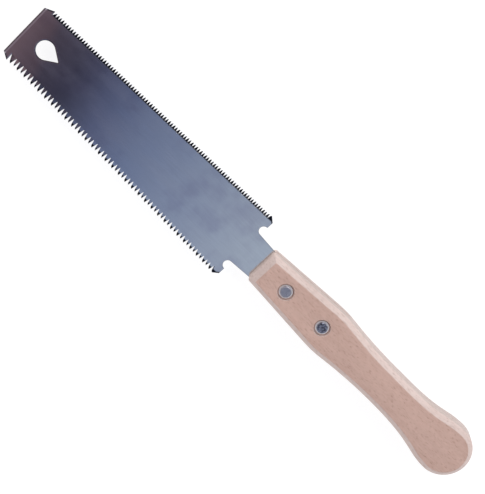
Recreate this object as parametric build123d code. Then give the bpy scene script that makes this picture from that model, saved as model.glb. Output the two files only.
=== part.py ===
"""Double-edged Japanese pull saw: a steel blade with its tang, a beech handle, two rivets and four washers.

Millimetres. The saw lies flat, +X runs from the butt of the handle to the tip of the blade, +Y is the
side of the coarse teeth and +Z is up. The origin is under the middle of the saw's length and width,
on the plane of the handle's underside.
"""
from build123d import *
from math import sqrt
import os

# Blade plate
blade_length = 150.0  # tip edge to heel edge
blade_thickness = 0.5
tip_edge_width = 28.8  # straight edge across the tip
tip_row_width = 33.4  # over the tooth points nearest the tip
heel_row_width = 41.8  # over the tooth points nearest the heel
fine_tip_corner_run = 4.8  # tip edge back to the first fine tooth point
coarse_tip_corner_run = 3.9  # tip edge back to the first coarse tooth point
heel_corner_run = 2.8  # last tooth point back to the heel edge
heel_corner_drop = 2.3  # last tooth point in to the heel corner
heel_notch_radius = 2.5

# Teeth, cut for the pull stroke: the steeper face looks at the handle
fine_pitch = 25.4 / 17
fine_heel_depth = 2.2
fine_tip_depth = 1.9
coarse_pitch = 25.4 / 11
coarse_heel_depth = 2.9
coarse_tip_depth = 3.9
tooth_face_lean = 0.2  # run of the steeper face along the row, as a share of its depth
gullet_land = 0.08  # flat at the bottom of a gullet, as a share of the pitch
top_bevel_run = 0.35  # short bevel behind each tooth point, along the row, as a share of the pitch
top_bevel_depth = 0.22  # and down the tooth, as a share of its depth

# Teardrop hanging hole
hang_hole_inset = 13.9  # tip edge to the centre of the round end
hang_hole_radius = 4.75
hang_hole_point = 8.4  # centre of the round end to the point

# Neck and tang: one straight taper from the heel to the end of the tang
neck_length = 11.05  # heel edge to the front of the handle
neck_width = 20.0  # at the heel
tang_end_width = 11.6
tang_end_margin = 7.0  # rear rivet to the end of the tang
tang_corner_radius = 2.5

# Handle
handle_length = 149.5
handle_thickness = 14.0
front_width = 19.0
front_corner = 1.0  # chamfer on the upright corners at the front
front_bevel = 3.4  # length of the front bevel along the handle
edge_bevel = 2.6  # 45 degree bevel all round both faces
swell_width = 25.6  # over the swell's corners, before they are softened
swell_inset = 49.5  # front to the swell's corners
swell_blend = 60.0  # radius that softens the swell's corners
waist_width = 20.3
waist_inset = 61.5  # butt end to the waist
flare_width = 24.2
flare_inset = 30.5  # butt end to the middle of the flare
flare_offset = 0.6  # middle of the flare towards the coarse teeth
butt_radius = 14.5  # round end of the knob
butt_offset = 0.75  # centre of the knob towards the coarse teeth

# Saw kerf in the handle that takes the tang
kerf_clearance = 0.05  # each side of the plate
kerf_end_gap = 2.0
kerf_cutter_radius = 60.0

# Rivets and washers
rivet_inset = 17.6  # front of the handle to the front rivet
rivet_spacing = 26.0
rivet_radius = 1.9
rivet_head_overhang = 0.9  # beyond the shank, all round
rivet_head_height = 0.8
rivet_head_chamfer = 0.2
rivet_clearance = 0.1  # between the shank and each hole that it passes through
washer_overhang = 0.9  # beyond the rivet head, all round
washer_thickness = 0.6
washer_chamfer = 0.25
counterbore_clearance = 0.6  # between the washer's edge and the counterbore's wall
head_recess = 0.15  # rivet head below the face of the handle

same_place = 0.01  # points and edges closer than this are taken as being at one place

# Places along the saw
overall_length = blade_length + neck_length + handle_length
tip_x = overall_length / 2
heel_x = tip_x - blade_length
front_x = heel_x - neck_length
butt_x = front_x - handle_length
blade_z = handle_thickness / 2
rivet_xs = {"front": front_x - rivet_inset, "rear": front_x - rivet_inset - rivet_spacing}
tang_end_x = rivet_xs["rear"] - tang_end_margin

# Radii of the rivet stack, and its depths from the nearer face of the handle
shank_hole_radius = rivet_radius + rivet_clearance
rivet_head_radius = rivet_radius + rivet_head_overhang
washer_radius = rivet_head_radius + washer_overhang
counterbore_radius = washer_radius + counterbore_clearance
washer_top_depth = head_recess + rivet_head_height
counterbore_depth = washer_top_depth + washer_thickness


def tooth_row(pitch, heel_depth, tip_depth, tip_corner_run):
    """Points of one toothed edge in the half plane y > 0, from the heel corner to the tip corner."""
    heel_point_x = heel_x + heel_corner_run
    tip_point_x = tip_x - tip_corner_run
    rise = (heel_row_width - tip_row_width) / 2
    run = tip_point_x - heel_point_x
    intervals = round(sqrt(run**2 + rise**2) / pitch)
    step = run / intervals
    slope = -rise / run

    def edge(x, inset):
        return (x, heel_row_width / 2 + slope * (x - heel_point_x) - inset)

    points = [(heel_x, heel_row_width / 2 - heel_corner_drop)]
    for i in range(intervals + 1):
        point_x = heel_point_x + i * step
        depth = heel_depth + (tip_depth - heel_depth) * i / intervals
        if i > 0:
            root_x = point_x if i == intervals else point_x - tooth_face_lean * depth
            points.append(edge(root_x - gullet_land * pitch, depth))
            points.append(edge(root_x, depth))
        points.append(edge(point_x, 0))
        if i < intervals:
            points.append(edge(point_x + top_bevel_run * pitch, top_bevel_depth * depth))
    points.append((tip_x, tip_edge_width / 2))
    return points


def mirrored(points):
    """The same points across the saw's centre line, in the reverse order."""
    return [(x, -y) for x, y in reversed(points)]


def prism(sketch, low_z, high_z):
    """A flat shape raised between two heights."""
    return extrude(Pos(0, 0, low_z) * sketch, amount=high_z - low_z)


def teardrop():
    """Round end with two tangent lines that meet in a point towards the handle."""
    tangent_x = hang_hole_radius**2 / hang_hole_point
    tangent_y = sqrt(hang_hole_radius**2 - tangent_x**2)
    corners = [(0, 0), (-tangent_x, tangent_y), (-hang_hole_point, 0), (-tangent_x, -tangent_y)]
    return Circle(hang_hole_radius) + make_face(Polyline(*corners, close=True))


def make_blade():
    half_neck = neck_width / 2
    half_tang = tang_end_width / 2
    coarse_row = tooth_row(coarse_pitch, coarse_heel_depth, coarse_tip_depth, coarse_tip_corner_run)
    fine_row = mirrored(tooth_row(fine_pitch, fine_heel_depth, fine_tip_depth, fine_tip_corner_run))
    toothed = make_face(Polyline(*coarse_row, *fine_row, close=True))
    neck_corners = [(heel_x, half_neck), (heel_x, -half_neck)]
    tang_corners = [(tang_end_x, -half_tang), (tang_end_x, half_tang)]
    tang = make_face(Polyline(*neck_corners, *tang_corners, close=True))
    tang = fillet(tang.vertices().sort_by(Axis.X)[:2], tang_corner_radius)
    outline = toothed + tang
    for side in (-1, 1):
        notch_y = side * (half_neck + heel_notch_radius)
        outline -= Pos(heel_x, notch_y) * Circle(heel_notch_radius)
    outline -= Pos(tip_x - hang_hole_inset, 0) * teardrop()
    for x in rivet_xs.values():
        outline -= Pos(x, 0) * Circle(shank_hole_radius)
    return prism(outline, blade_z - blade_thickness / 2, blade_z + blade_thickness / 2)


def grip_side(side):
    """One long side of the handle from front to knob: side is 1 for the coarse teeth, -1 for the fine."""
    front = (front_x, side * front_width / 2)
    swell = (front_x - swell_inset, side * swell_width / 2)
    waist = (butt_x + waist_inset, side * waist_width / 2)
    flare = (butt_x + flare_inset, side * flare_width / 2 + flare_offset)
    knob = (butt_x + butt_radius, side * butt_radius + butt_offset)
    hollow_middle = ((swell[0] + waist[0]) / 2, waist[1] + (swell[1] - waist[1]) / 4)
    flank = Line(front, swell)
    hollow = ThreePointArc(swell, hollow_middle, waist)
    widening = Spline(waist, flare, knob, tangents=[hollow % 1, (-1, 0)])
    return [flank, hollow, widening]


def handle_outline():
    """Plan of the handle: straight front, swell, waist and round butt."""
    coarse_side = grip_side(1)
    fine_side = grip_side(-1)
    front = Line(fine_side[0] @ 0, coarse_side[0] @ 0)
    butt = ThreePointArc(coarse_side[-1] @ 1, (butt_x, butt_offset), fine_side[-1] @ 1)
    face = make_face(coarse_side + fine_side + [front, butt])
    swells = face.vertices().filter_by(lambda v: abs(v.X - front_x + swell_inset) < same_place)
    face = fillet(swells, swell_blend)
    corners = face.vertices().filter_by(lambda v: abs(v.X - front_x) < same_place)
    return chamfer(corners, front_corner)


def front_bevel_wedges():
    """The wedges cut off the front end of the handle, one at each face, with some to spare outside it."""
    bevel_back = (front_x - front_bevel, handle_thickness)
    bevel_front = (front_x, handle_thickness - edge_bevel)
    inner = (bevel_back[0] - front_bevel, bevel_back[1] + edge_bevel)
    outer = (bevel_front[0] + front_bevel, bevel_front[1] - edge_bevel)
    profile = make_face(Polyline(inner, outer, (outer[0], inner[1]), close=True))
    wedge = extrude(Plane.XZ * profile, amount=front_width, both=True)
    return [wedge, mirror(wedge, Plane.XY.offset(blade_z))]


def kerf():
    """Saw cut from the front: as wide as the handle, with the round end that the cutter leaves."""
    thickness = blade_thickness + 2 * kerf_clearance
    deepest_x = tang_end_x - kerf_end_gap
    return Pos(deepest_x + kerf_cutter_radius, 0, blade_z) * Cylinder(kerf_cutter_radius, thickness)


def rivet_hole(x):
    """Shank hole through the handle, with a counterbore at each face."""
    hole = prism(Pos(x, 0) * Circle(shank_hole_radius), 0, handle_thickness)
    counterbore = Pos(x, 0) * Circle(counterbore_radius)
    hole += prism(counterbore, 0, counterbore_depth)
    hole += prism(counterbore, handle_thickness - counterbore_depth, handle_thickness)
    return hole


def make_handle():
    body = prism(handle_outline(), 0, handle_thickness)
    rims = body.faces().sort_by(Axis.Z)[0].edges() + body.faces().sort_by(Axis.Z)[-1].edges()
    body = chamfer(rims.filter_by(lambda e: e.center().X < front_x - same_place), edge_bevel)
    for wedge in front_bevel_wedges():
        body -= wedge
    for x in rivet_xs.values():
        body -= rivet_hole(x)
    return body - kerf()


def make_rivet(x):
    """Shank with a flat head at each end, the far one formed when the rivet is set."""
    shank = prism(Circle(rivet_radius), head_recess, handle_thickness - head_recess)
    head = prism(Circle(rivet_head_radius), head_recess, washer_top_depth)
    head = chamfer(head.faces().sort_by(Axis.Z)[0].edges(), rivet_head_chamfer)
    rivet = shank + head + mirror(head, Plane.XY.offset(blade_z))
    return Pos(x, 0, 0) * rivet


def make_washer(x, upper):
    """Flat ring under a rivet head, with its outer edge bevelled on the side that shows."""
    washer = prism(Circle(washer_radius) - Circle(shank_hole_radius), washer_top_depth, counterbore_depth)
    rim = washer.faces().sort_by(Axis.Z)[0].edges().sort_by(SortBy.RADIUS)[-1]
    washer = chamfer(rim, washer_chamfer)
    if upper:
        washer = mirror(washer, Plane.XY.offset(blade_z))
    return Pos(x, 0, 0) * washer


def make_parts():
    parts = {"blade": make_blade(), "handle": make_handle()}
    for place, x in rivet_xs.items():
        parts[f"{place}_rivet"] = make_rivet(x)
        parts[f"{place}_upper_washer"] = make_washer(x, upper=True)
        parts[f"{place}_lower_washer"] = make_washer(x, upper=False)
    return parts


os.makedirs("parts", exist_ok=True)
for node, solid in make_parts().items():
    export_step(solid, f"parts/{node}.step")
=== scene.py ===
"""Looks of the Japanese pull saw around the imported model: ground and set teeth, rolled plate edges,
eased handle edges, steel, beech, camera and studio. Metres, in the model's own frame: +X runs to the
tip of the blade, +Y is the side of the coarse teeth, +Z is up and the saw lies on the floor. The
materials work in millimetres.
"""
import math

import bmesh
import bpy
from mathutils import Matrix, Vector
from mathutils.geometry import tessellate_polygon


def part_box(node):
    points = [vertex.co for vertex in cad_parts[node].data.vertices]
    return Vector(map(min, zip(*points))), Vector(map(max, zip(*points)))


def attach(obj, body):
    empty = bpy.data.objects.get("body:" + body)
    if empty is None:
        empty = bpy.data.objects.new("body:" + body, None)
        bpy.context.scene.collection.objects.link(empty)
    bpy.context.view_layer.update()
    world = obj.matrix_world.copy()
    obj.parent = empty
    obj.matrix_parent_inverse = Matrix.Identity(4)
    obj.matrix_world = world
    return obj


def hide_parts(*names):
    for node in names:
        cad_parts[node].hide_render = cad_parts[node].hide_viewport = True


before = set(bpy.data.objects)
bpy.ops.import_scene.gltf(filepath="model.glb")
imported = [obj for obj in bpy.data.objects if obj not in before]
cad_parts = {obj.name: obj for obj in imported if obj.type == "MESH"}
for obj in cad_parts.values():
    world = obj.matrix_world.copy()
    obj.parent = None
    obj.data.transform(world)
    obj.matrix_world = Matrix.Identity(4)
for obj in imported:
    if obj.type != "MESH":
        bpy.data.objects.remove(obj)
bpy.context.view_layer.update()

MM = 0.001
SAME_PLACE = 0.001 * MM

# Sides of the saw, by the sign of Y, and faces of the plate, by the sign of Z
COARSE, FINE = 1, -1
UPPER, LOWER = 1, -1

# Camera: where it looks, how far off it is and how it is turned
CAMERA_TARGET = Vector((6.8, 0.7, 7.0)) * MM
CAMERA_DISTANCE = 634 * MM
CAMERA_LENS = 95.2
SENSOR_WIDTH = 36.0
TOWARDS_CAMERA = Vector((0.1758, -0.2234, 0.9587))
CAMERA_RIGHT = Vector((-0.7002, -0.7130, -0.0377))

# Studio
SOFTBOX_LENGTH = 1.4
SOFTBOX_WIDTH = 0.6
SOFTBOX_OFFSET = 0.9
SOFTBOX_HEIGHT = 0.55
COARSE_SIDE_WATTS = 0.5
FINE_SIDE_WATTS = 5.5
FLOOR_HALF = 3.0
FLOOR_LEVEL = -0.05 * MM  # under the handle, so that the two don't share a plane
CEILING_FROM, CEILING_FULL = 0.62, 0.80  # sine of the height in the sky where the ceiling fades in
LEAST_RISE = 0.05

# Teeth, ground at a slant and set to alternate sides
COARSE_FLEAM = 0.065  # lean of a ground flank at each face of the plate, as a share of a tooth's base
FINE_FLEAM = 0.035
POINT_DROP = 0.08  # how far the blunt face of a tooth stops short of its point, as a share of its height
TOOTH_SET = 0.12 * MM  # bend of a tooth point out of the plate

# Plate edges, rolled down a little by the blanking punch
ROLL_WIDTH = 0.5 * MM
ROLL_DROP = 0.04 * MM
# painted shade: how dark the rolled outer edges are painted, where that on the holes' edges is 1
OUTER_RIM_PAINTED_SHADE = 0.45  # darkness of the rolled outer edges, where that of the holes' edges is 1

# Plate steel, in millimetres: the hardened strip runs from the tooth points inwards
COARSE_HARD_DEPTH = 1.9
FINE_HARD_DEPTH = 2.4
CORNER_HARD_DEPTH = 0.7
HARD_FULL_BEFORE = 0.35
HARD_GONE_AFTER = 0.25
ROW_END_FADE = 0.8
PLAIN_EDGES_REACH = 11.5  # from the centre line; further out the edges are ground bright
TINT_SKEW = 0.35  # slant of the painted reflection gradient across the plate
TINT_MARGIN = 10.0

# Handle edges
EASED_EDGE = 0.35 * MM
SHARP_EDGE_ANGLE = math.radians(22)
KERF_MARGIN = 0.2 * MM

# Angles between faces: below the first they count as one flat face, above the others as a crease
SAME_FACE_ANGLE = math.radians(0.5)
HANDLE_CREASE = math.radians(30)
PLATE_WALL_CREASE = math.radians(25)
PLATE_FACE_CREASE = math.radians(2)

# How far a face's normal points up or down, from 0 to 1: the plate's broad faces and its walls
BROAD_FACE_RISE = 0.9
WALL_RISE = 0.3


def make_camera():
    data = bpy.data.cameras.new("camera")
    data.sensor_fit = "HORIZONTAL"
    data.sensor_width = SENSOR_WIDTH
    data.lens = CAMERA_LENS
    data.clip_start = 0.01
    camera = bpy.data.objects.new("camera", data)
    back = TOWARDS_CAMERA.normalized()
    up = back.cross(CAMERA_RIGHT).normalized()
    turn = Matrix((up.cross(back), up, back)).transposed().to_4x4()
    camera.matrix_world = Matrix.Translation(CAMERA_TARGET + back * CAMERA_DISTANCE) @ turn
    bpy.context.scene.collection.objects.link(camera)
    bpy.context.scene.camera = camera


# Shader nodes
class Nodes:
    """Short ways to add and link the nodes of one material or world."""

    def __init__(self, owner):
        owner.use_nodes = True
        self.tree = owner.node_tree
        self.tree.nodes.clear()

    def feed(self, socket, value):
        if isinstance(value, bpy.types.NodeSocket):
            self.tree.links.new(value, socket)
        else:
            socket.default_value = value

    def add(self, kind, inputs=None, **settings):
        node = self.tree.nodes.new(kind)
        for name, value in settings.items():
            setattr(node, name, value)
        for name, value in (inputs or {}).items():
            self.feed(node.inputs[name], value)
        return node

    def math(self, operation, a, b=0.0):
        return self.add("ShaderNodeMath", {0: a, 1: b}, operation=operation).outputs[0]

    def smooth(self, value, low, high, to_low=0.0, to_high=1.0):
        """value from low to high becomes to_low to to_high, eased at both ends."""
        inputs = {"Value": value, "From Min": low, "From Max": high, "To Min": to_low, "To Max": to_high}
        return self.add("ShaderNodeMapRange", inputs, interpolation_type="SMOOTHSTEP").outputs[0]

    def mix(self, share, a, b, blend="MIX"):
        node = self.add("ShaderNodeMix", {0: share, 6: a, 7: b}, data_type="RGBA", blend_type=blend)
        return node.outputs[2]

    def ramp(self, value, low, high, stops):
        """Colour by value: stops are (value, colour) pairs in rising order."""
        inputs = {"Value": value, "From Min": low, "From Max": high}
        share = self.add("ShaderNodeMapRange", inputs).outputs[0]
        node = self.add("ShaderNodeValToRGB", {"Fac": share})
        elements = node.color_ramp.elements
        while len(elements) < len(stops):
            elements.new(0.5)
        for element, (at, colour) in zip(elements, stops):
            element.position = (at - low) / (high - low)
            element.color = colour
        return node.outputs[0]

    def noise(self, vector, size, detail=3.0, roughness=0.55, stretch=(1, 1, 1)):
        """Noise with features of about size, in the vector's unit, drawn out by stretch."""
        scale = [1 / (size * s) for s in stretch]
        mapped = self.add("ShaderNodeMapping", {"Vector": vector, "Scale": scale}).outputs[0]
        inputs = {"Vector": mapped, "Scale": 1.0, "Detail": detail, "Roughness": roughness}
        return self.add("ShaderNodeTexNoise", inputs).outputs[0]

    def place_mm(self):
        """Place on the object in millimetres."""
        place = self.add("ShaderNodeTexCoord").outputs["Object"]
        inputs = {0: place, "Scale": 1 / MM}
        return self.add("ShaderNodeVectorMath", inputs, operation="SCALE").outputs[0]

    def xyz(self, vector):
        return self.add("ShaderNodeSeparateXYZ", {0: vector}).outputs

    def facing(self, axis):
        """1 on faces square to the axis ("X", "Y" or "Z"), at either side, and less on tilted ones."""
        normal = self.add("ShaderNodeNewGeometry").outputs["True Normal"]
        return self.math("ABSOLUTE", self.xyz(normal)[axis])

    def bump(self, height, distance, strength=1.0):
        inputs = {"Height": height, "Distance": distance, "Strength": strength}
        return self.add("ShaderNodeBump", inputs).outputs[0]

    def finish(self, shader, kind="ShaderNodeOutputMaterial"):
        self.feed(self.add(kind).inputs["Surface"], shader)


def grey(value):
    return (value, value, value, 1.0)


# Studio
def make_world():
    """Bright all round, with a darker ceiling: pale blue towards the handle's end, near black overhead
    and a dull rose towards the tip's end.
    """
    world = bpy.data.worlds.new("studio")
    n = Nodes(world)
    x, _, z = n.xyz(n.add("ShaderNodeTexCoord").outputs["Generated"])
    slope = n.math("DIVIDE", x, n.math("MAXIMUM", z, LEAST_RISE))
    ceiling = n.ramp(slope, -0.6, 0.4, [
        (-0.50, (0.58, 0.64, 0.74, 1)),
        (-0.20, (0.46, 0.53, 0.65, 1)),
        (-0.09, (0.24, 0.285, 0.40, 1)),
        (-0.045, (0.18, 0.22, 0.33, 1)),
        (0.00, (0.072, 0.072, 0.112, 1)),
        (0.03, (0.058, 0.052, 0.078, 1)),
        (0.08, (0.28, 0.215, 0.235, 1)),
        (0.35, (0.32, 0.26, 0.27, 1)),
    ])
    colour = n.mix(n.smooth(z, CEILING_FROM, CEILING_FULL), grey(1.0), ceiling)
    light = n.add("ShaderNodeBackground", {"Color": colour, "Strength": 1.0}).outputs[0]
    n.finish(light, "ShaderNodeOutputWorld")
    bpy.context.scene.world = world


def make_softbox(name, side, watts):
    """A long lamp beside the saw, parallel to it and facing it."""
    lamp = bpy.data.lights.new(name, "AREA")
    lamp.shape = "RECTANGLE"
    lamp.size = SOFTBOX_LENGTH
    lamp.size_y = SOFTBOX_WIDTH
    lamp.energy = watts
    softbox = bpy.data.objects.new(name, lamp)
    softbox.location = Vector((0, side * SOFTBOX_OFFSET, SOFTBOX_HEIGHT))
    softbox.rotation_mode = "QUATERNION"
    softbox.rotation_quaternion = softbox.location.to_track_quat("Z", "Y")
    bpy.context.scene.collection.objects.link(softbox)


def make_floor():
    """A plain light table: a pale sheet that glows from below."""
    signs = [(-1, -1), (1, -1), (1, 1), (-1, 1)]
    corners = [(x * FLOOR_HALF, y * FLOOR_HALF, FLOOR_LEVEL) for x, y in signs]
    mesh = bpy.data.meshes.new("floor")
    mesh.from_pydata(corners, [], [(0, 1, 2, 3)])
    floor = bpy.data.objects.new("floor", mesh)
    bpy.context.scene.collection.objects.link(floor)
    material = bpy.data.materials.new("light_table")
    n = Nodes(material)
    inputs = {"Base Color": grey(0.35), "Roughness": 0.9, "Specular IOR Level": 0.2}
    inputs |= {"Emission Color": grey(1.0), "Emission Strength": 0.78}
    n.finish(n.add("ShaderNodeBsdfPrincipled", inputs).outputs[0])
    mesh.materials.append(material)


# Blade
def welded(node):
    """The node's CAD mesh as a bmesh whose faces share their corners."""
    mesh = bmesh.new()
    mesh.from_mesh(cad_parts[node].data)
    bmesh.ops.remove_doubles(mesh, verts=mesh.verts, dist=SAME_PLACE)
    return mesh


def is_upper(face):
    return face.normal.z > BROAD_FACE_RISE


def plate_outlines(mesh):
    """Outlines of the plate's upper face from their rear ends, steel on the left, the outer one first."""
    following = {}
    for face in filter(is_upper, mesh.faces):
        for corner in face.loops:
            if not is_upper(corner.link_loop_radial_next.face):
                following[corner.vert] = corner.link_loop_next.vert
    outlines = []
    while following:
        vert = next(iter(following))
        points = []
        while vert in following:
            points.append(vert.co.xy)
            vert = following.pop(vert)
        first = min(range(len(points)), key=lambda i: points[i].x)
        outlines.append(points[first:] + points[:first])
    return sorted(outlines, key=len, reverse=True)


def tooth_rows(outline):
    """For each side, the places in the outline of the tooth points, from the heel to the tip."""
    tip = max(p.x for p in outline)
    edge = max(abs(p.y) for p in outline if p.x > tip - SAME_PLACE)
    rows = {COARSE: [], FINE: []}
    for i, point in enumerate(outline):
        neighbours = (outline[i - 1], outline[(i + 1) % len(outline)])
        if abs(point.y) > max(edge, *(abs(p.y) for p in neighbours)):
            rows[math.copysign(1, point.y)].append(i)
    for row in rows.values():
        row.sort(key=lambda i: outline[i].x)
    return rows


def grind_teeth(outline, rows):
    """The outline at the upper and the lower face, and the bend at each point that stands out of it.

    Neighbouring gullets are ground at opposite slants, so that a tooth is wide and sharp on one face
    and narrow and blunt on the other, and it is bent towards the face where it is wide.
    """
    faces = {face: [p.copy() for p in outline] for face in (UPPER, LOWER)}
    bend = {}
    for side, fleam in ((COARSE, COARSE_FLEAM), (FINE, FINE_FLEAM)):
        row = rows[side]
        wide = UPPER
        for i in row[1:-1]:
            near_root, shoulder, far_root = i + side, i - side, i - 2 * side
            base = outline[far_root] - outline[near_root]
            lean = base * fleam
            drop = (outline[near_root] + base * 0.5 - outline[i]) * POINT_DROP
            faces[wide][near_root] -= lean
            faces[wide][far_root] += lean
            faces[-wide][near_root] += lean
            faces[-wide][far_root] -= lean
            faces[-wide][i] += lean + drop
            faces[-wide][shoulder] += drop - lean
            bend[i] = bend[shoulder] = wide * TOOTH_SET
            wide = -wide
    return faces, bend


def inset(points, width):
    """The outline moved to its left by width."""
    moved = []
    for i, point in enumerate(points):
        ahead = (points[(i + 1) % len(points)] - point).normalized()
        behind = (point - points[i - 1]).normalized()
        left = Vector((-ahead.y - behind.y, ahead.x + behind.x))
        moved.append(point + left * (width / (1 + ahead.dot(behind))))
    return moved


def lay_rim(mesh, outline, ground, teeth, rim_painted_shade, face, level):
    """The rolled rim along one outline, on one face of the plate, with the teeth that stand out of it.

    ground is the outline as it is on this face, teeth holds the bend at each point of a tooth, and the
    argument after teeth is how dark the rolled edge is painted, as painted shade.
    Returns the rim's outer and inner corners.
    """
    rim = mesh.verts.layers.float["rim"]
    outer = [mesh.verts.new((*p, level)) for p in ground]
    plain = [i for i in range(len(outer)) if i not in teeth]
    inner = [mesh.verts.new((*p, level)) for p in inset([outline[i] for i in plain], ROLL_WIDTH)]
    for j, i in enumerate(plain):
        k = (j + 1) % len(plain)
        following = plain[k]
        mesh.faces.new([outer[i], outer[following], inner[k], inner[j]][::face])
        if following > i + 1:
            mesh.faces.new(outer[i:following + 1][::face])
        elif i - 1 not in teeth:
            for vert in (outer[i], outer[following]):
                vert.co.z = level - face * ROLL_DROP
                # painted shade on the rolled edge
                vert[rim] = rim_painted_shade
    for i, bend in teeth.items():
        outer[i].co.z += bend
    return outer, inner


def lay_face(mesh, outlines, ground, teeth, face, level):
    """One broad face of the plate, UPPER or LOWER. Returns the outer corners of each rim."""
    outer, inner = lay_rim(mesh, outlines[0], ground, teeth, OUTER_RIM_PAINTED_SHADE, face, level)
    rings, inner_rings = [outer], [inner]
    for outline in outlines[1:]:
        outer, inner = lay_rim(mesh, outline, outline, {}, 1.0, face, level)
        rings.append(outer)
        inner_rings.append(inner)
    flat = [[Vector((*vert.co.xy, 0)) for vert in ring] for ring in inner_rings]
    verts = [vert for ring in inner_rings for vert in ring]
    for triangle in tessellate_polygon(flat):
        mesh.faces.new([verts[i] for i in triangle])
    return rings


def make_blade():
    """The plate from the CAD outlines, with ground and set teeth and rolled edges."""
    cad = welded("blade")
    outlines = plate_outlines(cad)
    cad.free()
    rows = tooth_rows(outlines[0])
    faces, teeth = grind_teeth(outlines[0], rows)
    low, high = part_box("blade")
    mesh = bmesh.new()
    mesh.verts.layers.float.new("rim")
    uppers = lay_face(mesh, outlines, faces[UPPER], teeth, UPPER, high.z)
    lowers = lay_face(mesh, outlines, faces[LOWER], teeth, LOWER, low.z)
    for upper, lower in zip(uppers, lowers):
        for i in range(len(upper)):
            mesh.faces.new([upper[i - 1], lower[i - 1], lower[i], upper[i]])
    bmesh.ops.recalc_face_normals(mesh, faces=mesh.faces)
    for face in mesh.faces:
        face.smooth = True
    for edge in mesh.edges:
        wall = all(abs(f.normal.z) < WALL_RISE for f in edge.link_faces)
        edge.smooth = edge.calc_face_angle(0) < (PLATE_WALL_CREASE if wall else PLATE_FACE_CREASE)
    piece = piece_from(mesh, "ground_blade")
    piece.data.materials.append(plate_steel(outlines[0], rows))
    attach(piece, "root")
    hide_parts("blade")


def piece_from(mesh, name):
    data = bpy.data.meshes.new(name)
    mesh.to_mesh(data)
    mesh.free()
    piece = bpy.data.objects.new(name, data)
    bpy.context.scene.collection.objects.link(piece)
    return piece


def strip_along(n, x, y, points, depth):
    """1 from the line through two points of the outline to depth, into the steel on its left."""
    start, end = points
    along = (end - start).normalized()
    offset = (along.y * start.x - along.x * start.y) / MM
    across = n.math("SUBTRACT", n.math("MULTIPLY", y, along.x), n.math("MULTIPLY", x, along.y))
    inwards = n.math("ADD", across, offset)
    return n.smooth(inwards, depth - HARD_FULL_BEFORE, depth + HARD_GONE_AFTER, 1.0, 0.0)


def hardened(n, x, y, outline, rows, heel_x):
    """1 on the teeth and along the slanted corners at the ends of each row, 0 on the plate."""
    mask = 0.0
    for side, row_depth in ((COARSE, COARSE_HARD_DEPTH), (FINE, FINE_HARD_DEPTH)):
        heel, tip = rows[side][0], rows[side][-1]
        row_end = outline[tip].x / MM
        fade = n.smooth(x, row_end - ROW_END_FADE, row_end + ROW_END_FADE, 1.0, 0.0)
        row = strip_along(n, x, y, (outline[tip], outline[heel])[::side], row_depth)
        tip_corner = (outline[tip - side], outline[tip])[::side]
        heel_corner = (outline[heel], outline[heel + side])[::side]
        strips = [n.math("MULTIPLY", row, fade)]
        for corner in (tip_corner, heel_corner):
            strips.append(strip_along(n, x, y, corner, CORNER_HARD_DEPTH))
        for strip in strips:
            mask = n.math("MAXIMUM", mask, strip)
    return n.math("MULTIPLY", mask, n.math("GREATER_THAN", x, heel_x))


def painted_reflection_gradient(n, place, x, y, heel_x, tip_x):
    """Painted reflection along the plate: a dark-to-light gradient in the base colour that stands in for
    the reflected studio, at distances in mm from the heel, with soft violet patches.
    """
    along = n.math("ADD", x, n.math("MULTIPLY", y, TINT_SKEW))
    tint = n.ramp(along, heel_x - TINT_MARGIN, tip_x + TINT_MARGIN, [
        (heel_x, (0.74, 0.75, 0.76, 1)),
        (heel_x + 75, (0.64, 0.68, 0.79, 1)),
        (heel_x + 100, (0.54, 0.56, 0.70, 1)),
        (heel_x + 118, (0.40, 0.40, 0.48, 1)),
        (heel_x + 133, (0.42, 0.41, 0.48, 1)),
        (heel_x + 138, (0.56, 0.48, 0.52, 1)),
        (tip_x, (0.66, 0.56, 0.60, 1)),
    ])
    mottle = n.noise(place, 14.0, detail=2.0)
    return n.mix(n.smooth(mottle, 0.45, 0.75, 0.0, 0.35), tint, (0.55, 0.50, 0.66, 1), "MULTIPLY")


def mark_edges(n, tint, x, y, tip_x):
    """The tint with a painted highlight along the tip standing in for a ground bevel, a painted dark edge
    line at the tip, painted shade on the rolled rims, and the walls, near black along the plain edges and
    bright steel along the teeth.
    """
    inwards = n.math("SUBTRACT", tip_x, x)
    # painted highlight: a bright strip 1.2 to 1.6 mm in from the tip, standing in for a ground bevel
    tint = n.mix(n.smooth(inwards, 1.2, 1.6, 0.95, 0.0), tint, (0.97, 0.93, 0.97, 1))
    # painted shade: a dark line along the tip's edge
    tint = n.mix(n.smooth(inwards, 0.5, 0.8, 0.7, 0.0), tint, (0.10, 0.09, 0.10, 1))
    # painted shade: the rolled rims are painted near black
    rim = n.add("ShaderNodeAttribute", attribute_name="rim").outputs["Fac"]
    tint = n.mix(n.smooth(rim, 0.0, 0.7, 0.0, 0.95), tint, (0.06, 0.06, 0.08, 1))
    toothed = n.math("GREATER_THAN", n.math("ABSOLUTE", y), PLAIN_EDGES_REACH)
    wall_colour = n.mix(toothed, (0.10, 0.10, 0.12, 1), (0.72, 0.73, 0.77, 1))
    return n.mix(n.smooth(n.facing("Z"), 0.72, 0.95, 1.0, 0.0), tint, wall_colour)


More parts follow.
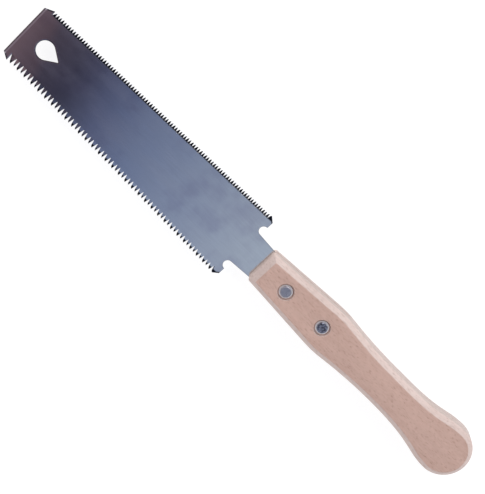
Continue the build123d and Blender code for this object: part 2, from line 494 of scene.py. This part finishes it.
def plate_steel(outline, rows):
    """Polished and lightly oiled saw plate, black where the teeth were hardened, bright where ground,
    with a painted reflection gradient along it and painted shade on its edges.
    """
    material = bpy.data.materials.new("plate_steel")
    n = Nodes(material)
    place = n.place_mm()
    x, y, _ = n.xyz(place)
    tip_x = max(p.x for p in outline) / MM
    heel_x = outline[rows[COARSE][0] + 1].x / MM
    # painted reflection: the base colour darkens and lightens along the plate as the reflected studio
    # would
    tint = painted_reflection_gradient(n, place, x, y, heel_x, tip_x)
    lines = n.noise(place, 0.16, detail=4.0, stretch=(60, 1, 1))
    tint = n.mix(n.smooth(lines, 0.3, 0.7, 0.0, 0.16), tint, grey(0.35))
    black = hardened(n, x, y, outline, rows, heel_x)
    soot = n.noise(place, 0.7, detail=4.0)
    black = n.math("MULTIPLY", black, n.smooth(soot, 0.2, 0.5, 0.92, 1.0))
    tint = n.mix(black, tint, (0.010, 0.012, 0.020, 1))
    tint = mark_edges(n, tint, x, y, tip_x)
    smear = n.noise(place, 9.0, detail=5.0, stretch=(3, 1, 1))
    roughness = n.smooth(smear, 0.25, 0.75, 0.10, 0.17)
    roughness = n.math("ADD", roughness, n.math("MULTIPLY", black, 0.25))
    height = n.math("ADD", n.math("MULTIPLY", lines, 0.5), n.noise(place, 0.35, detail=4.0))
    inputs = {"Base Color": tint, "Metallic": 1.0, "Roughness": roughness}
    inputs["Normal"] = n.bump(height, 0.003 * MM, 0.6)
    n.finish(n.add("ShaderNodeBsdfPrincipled", inputs).outputs[0])
    return material


# Handle
def make_handle():
    """The CAD handle with its sharp edges eased, except those of the kerf."""
    mesh = welded("handle")
    bmesh.ops.dissolve_limit(mesh, angle_limit=SAME_FACE_ANGLE, verts=mesh.verts, edges=mesh.edges)
    low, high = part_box("blade")
    sharp = []
    for edge in mesh.edges:
        in_kerf = all(low.z - KERF_MARGIN < v.co.z < high.z + KERF_MARGIN for v in edge.verts)
        if edge.calc_face_angle(0) > SHARP_EDGE_ANGLE and not in_kerf:
            sharp.append(edge)
    easing = {"offset": EASED_EDGE, "segments": 2, "profile": 0.6, "affect": "EDGES"}
    bmesh.ops.bevel(mesh, geom=sharp, clamp_overlap=True, **easing)
    for face in mesh.faces:
        face.smooth = True
    for edge in mesh.edges:
        edge.smooth = edge.calc_face_angle(0) < HANDLE_CREASE
    piece = piece_from(mesh, "eased_handle")
    piece.data.materials.append(beech())
    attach(piece, "root")
    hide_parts("handle")


def beech():
    """Steamed beech: pinkish tan, short flecks along the grain, paler on the bevels and ends, partly as a
    painted sheen, and greyer on the side faces as painted shade.
    """
    material = bpy.data.materials.new("beech_wood")
    n = Nodes(material)
    place = n.place_mm()
    rings = n.noise(place, 6.0, detail=4.0, stretch=(9, 1, 1))
    fibres = n.noise(place, 0.30, detail=5.0, roughness=0.65, stretch=(24, 1, 1))
    flecks = n.noise(place, 0.4, detail=1.5, stretch=(6, 1, 1))
    mottle = n.noise(place, 2.2, detail=3.0, stretch=(2, 1, 1))
    ring_share = n.smooth(rings, 0.35, 0.65, 0.15, 0.85)
    face_colour = n.mix(ring_share, (0.59, 0.40, 0.335, 1), (0.655, 0.447, 0.377, 1))
    # bevels and ends: paler wood, partly a painted sheen of the bright surroundings
    bevel_colour_and_painted_sheen = n.mix(ring_share, (0.65, 0.525, 0.485, 1), (0.71, 0.58, 0.535, 1))
    # side faces: greyer and darker, painted shade
    side_colour_painted_shade = n.mix(ring_share, (0.48, 0.40, 0.375, 1), (0.54, 0.45, 0.42, 1))
    colour = n.mix(n.smooth(n.facing("Y"), 0.75, 0.95), bevel_colour_and_painted_sheen, side_colour_painted_shade)
    colour = n.mix(n.smooth(n.facing("Z"), 0.90, 0.99), colour, face_colour)
    colour = n.mix(n.smooth(mottle, 0.40, 0.70, 0.0, 0.45), colour, (0.90, 0.86, 0.84, 1), "MULTIPLY")
    colour = n.mix(n.smooth(fibres, 0.30, 0.70, 0.0, 0.40), colour, (0.80, 0.76, 0.74, 1), "MULTIPLY")
    colour = n.mix(n.smooth(flecks, 0.58, 0.68, 0.0, 0.65), colour, (0.62, 0.54, 0.50, 1), "MULTIPLY")
    height = n.math("SUBTRACT", fibres, n.smooth(flecks, 0.56, 0.68, 0.0, 0.8))
    roughness = n.smooth(fibres, 0.3, 0.7, 0.50, 0.66)
    inputs = {"Base Color": colour, "Roughness": roughness, "Specular IOR Level": 0.35}
    inputs["Normal"] = n.bump(height, 0.05 * MM, 0.6)
    n.finish(n.add("ShaderNodeBsdfPrincipled", inputs).outputs[0])
    return material


# Rivets and washers
def turned_steel(name, colour, dark, roughness, dents):
    """Bare steel with fine scratches and small dents from setting the rivet."""
    material = bpy.data.materials.new(name)
    n = Nodes(material)
    place = n.place_mm()
    scratches = n.noise(place, 0.12, detail=4.0, stretch=(1, 9, 1))
    spots = n.noise(place, 0.9, detail=3.0)
    tint = n.mix(n.smooth(spots, 0.35, 0.7), colour, dark)
    tint = n.mix(n.smooth(scratches, 0.35, 0.7, 0.0, 0.3), tint, dark)
    height = n.math("ADD", n.math("MULTIPLY", scratches, 0.15), spots)
    rough = n.smooth(scratches, 0.3, 0.7, roughness, roughness + 0.12)
    inputs = {"Base Color": tint, "Metallic": 1.0, "Roughness": rough}
    inputs["Normal"] = n.bump(height, dents * MM)
    n.finish(n.add("ShaderNodeBsdfPrincipled", inputs).outputs[0])
    return material


def finish_fasteners():
    """Steel on the rivets and washers. The rear rivet is more dented than the front one, and painted near
    black, standing in for the dark reflection its face shows.
    """
    front = turned_steel("front_rivet_steel", (0.46, 0.44, 0.48, 1), (0.33, 0.31, 0.35, 1), 0.22, 0.02)
    # painted reflection: the rear rivet's near-black colour stands in for the dark ceiling reflected in
    # its face
    rear = turned_steel("rear_rivet_painted_dark_reflection", (0.42, 0.42, 0.50, 1), (0.055, 0.05, 0.065, 1), 0.20, 0.12)
    washer = turned_steel("washer_steel_bright", (0.97, 0.92, 0.89, 1), (0.84, 0.79, 0.77, 1), 0.42, 0.03)
    finishes = {"front_rivet": front, "rear_rivet": rear}
    for name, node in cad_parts.items():
        if name.endswith("washer"):
            finishes[name] = washer
    for name, material in finishes.items():
        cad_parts[name].data.materials[0] = material


make_camera()
make_world()
make_floor()
make_softbox("coarse_side_softbox", COARSE, COARSE_SIDE_WATTS)
make_softbox("fine_side_softbox", FINE, FINE_SIDE_WATTS)
bpy.context.scene.view_settings.view_transform = "Standard"
make_blade()
make_handle()
finish_fasteners()
